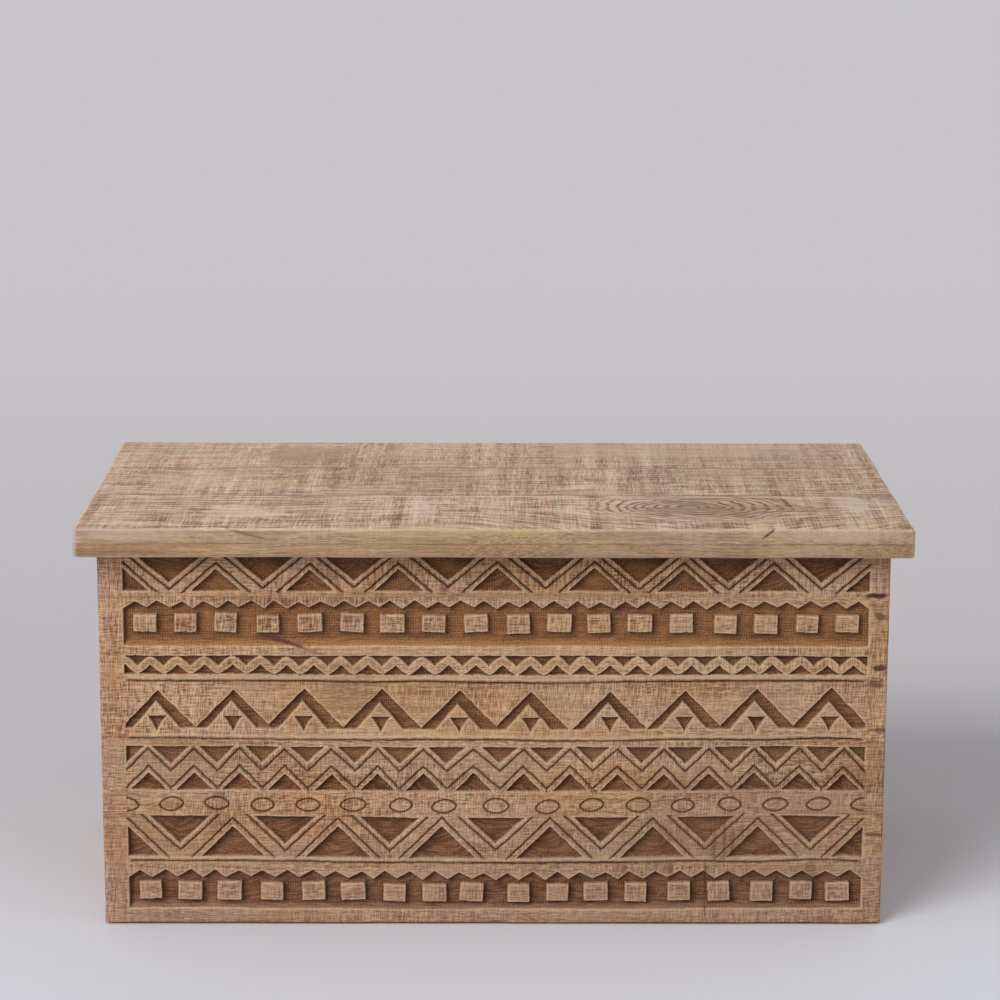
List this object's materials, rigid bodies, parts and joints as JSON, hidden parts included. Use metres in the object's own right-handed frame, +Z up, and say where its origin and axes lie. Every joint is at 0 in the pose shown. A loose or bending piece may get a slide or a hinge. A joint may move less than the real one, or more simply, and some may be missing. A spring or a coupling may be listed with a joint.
{
  "type": "chest bench",
  "caption": "Low wooden storage chest with a carved front and a thick hinged plank lid that overhangs all round and serves as a bench seat.",
  "frame": {"origin": "on the floor, under the middle of the chest", "axes": "+Z up, +X to the right seen from the carved front, +Y towards the back"},
  "size_m": [0.89, 0.438, 0.45],
  "materials": {
    "carved_front": "matte, rough sawn and carved",
    "sawn_case": "matte, rough sawn",
    "inner_timber": "matte, planed",
    "lid_planks": "matte, rough sawn",
    "hinge_iron": "dark, satin",
    "screw_steel": "satin",
    "glide_plastic": "matte"
  },
  "bodies": {
    "case": {"front_stave_1": "carved_front", "front_stave_2": "carved_front", "front_stave_3": "carved_front", "front_stave_4": "carved_front", "front_stave_5": "carved_front", "front_stave_6": "carved_front", "back_board_1": "sawn_case", "back_board_2": "sawn_case", "back_board_3": "sawn_case", "left_side_board_1": "sawn_case", "left_side_board_2": "sawn_case", "left_side_board_3": "sawn_case", "right_side_board_1": "sawn_case", "right_side_board_2": "sawn_case", "right_side_board_3": "sawn_case", "corner_post_front_left": "inner_timber", "corner_post_front_right": "inner_timber", "corner_post_back_left": "inner_timber", "corner_post_back_right": "inner_timber", "floor_board_1": "inner_timber", "floor_board_2": "inner_timber", "floor_board_3": "inner_timber", "floor_bearer_front": "inner_timber", "floor_bearer_back": "inner_timber", "floor_bearer_left": "inner_timber", "floor_bearer_right": "inner_timber", "hinge_case_leaf_left": "hinge_iron", "hinge_case_leaf_right": "hinge_iron", "hinge_pin_left": "hinge_iron", "hinge_pin_right": "hinge_iron", "hinge_screws_case": "screw_steel", "floor_glides": "glide_plastic"},
    "lid": {"lid_board_front": "lid_planks", "lid_board_middle": "lid_planks", "lid_board_rear": "lid_planks", "lid_batten_left": "inner_timber", "lid_batten_right": "inner_timber", "hinge_lid_leaf_left": "hinge_iron", "hinge_lid_leaf_right": "hinge_iron", "hinge_screws_lid": "screw_steel"}
  },
  "joints": [
    {"name": "lid_hinge", "type": "hinge", "parent": "case", "child": "lid", "pos_m": [0, 0.2009, 0.4141], "axis": [-1, 0, 0], "range_deg": [0, 102]}
  ]
}
